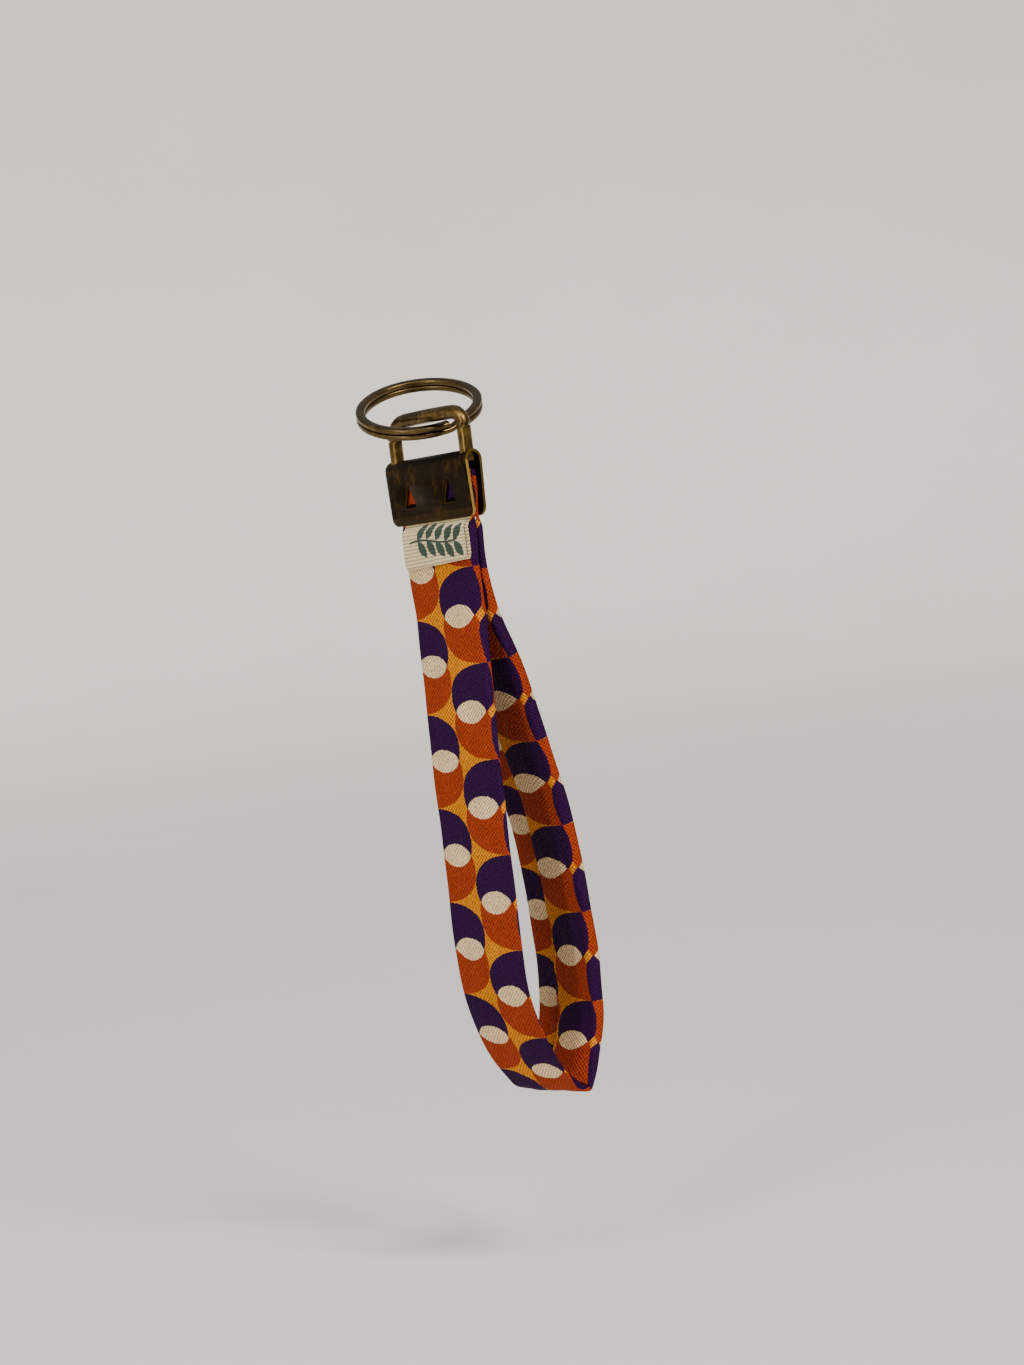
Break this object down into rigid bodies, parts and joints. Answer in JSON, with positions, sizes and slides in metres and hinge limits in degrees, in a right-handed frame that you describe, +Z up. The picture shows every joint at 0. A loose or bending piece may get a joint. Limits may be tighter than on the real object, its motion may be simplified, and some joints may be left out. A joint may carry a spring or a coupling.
{
  "type": "wristlet keychain",
  "caption": "Fabric wristlet key fob: looped printed cotton strap crimped in a metal sheet clamp with a wire bail, a split key ring and a folded ribbon label.",
  "frame": {"origin": "centre of the bail's straight top bar, where the fob hangs on the key ring", "axes": "+X along the bar and across the strap, -Y out of the label side, +Z up along the clamp, away from the loop"},
  "size_m": [0.0415, 0.0332, 0.1839],
  "materials": {
    "ring_metal": "antique brass plating, worn bright on the edges",
    "bail_metal": "antique brass plating, brushed lengthwise",
    "clamp_metal": "dark antique brass plating, edges worn to yellow brass",
    "strap_cotton": "printed plain-weave cotton with a repeating leaf and lens pattern in gold, purple, rust and cream",
    "strap_batting": "soft white batting",
    "thread": "white sewing thread",
    "label_ribbon": "cream ribbed ribbon with a small green sprig"
  },
  "bodies": {
    "ring": {"key_ring": "ring_metal"},
    "head": {"bail": "bail_metal", "clamp": "clamp_metal", "strap_end": "strap_cotton", "end_stitch": "thread", "label_end": "label_ribbon"},
    "strap": {"strap_cover": "strap_cotton", "strap_core": "strap_batting"},
    "label": {"label": "label_ribbon"}
  },
  "joints": [
    {"name": "ring_swing", "type": "hinge", "parent": "ring", "child": "head", "pos_m": [0, 0, 0], "axis": [1, 0, 0], "range_deg": [-55, 55]},
    {"name": "strap_flex", "type": "hinge", "parent": "head", "child": "strap", "pos_m": [0, 0.00025, -0.0289], "axis": [1, 0, 0], "range_deg": [-45, 45], "stiffness_Nm_per_rad": 0.004, "springref_deg": 11.46},
    {"name": "label_lift", "type": "hinge", "parent": "strap", "child": "label", "pos_m": [0, -0.00231, -0.0289], "axis": [-1, 0, 0], "range_deg": [0, 75], "stiffness_Nm_per_rad": 0.0004}
  ]
}
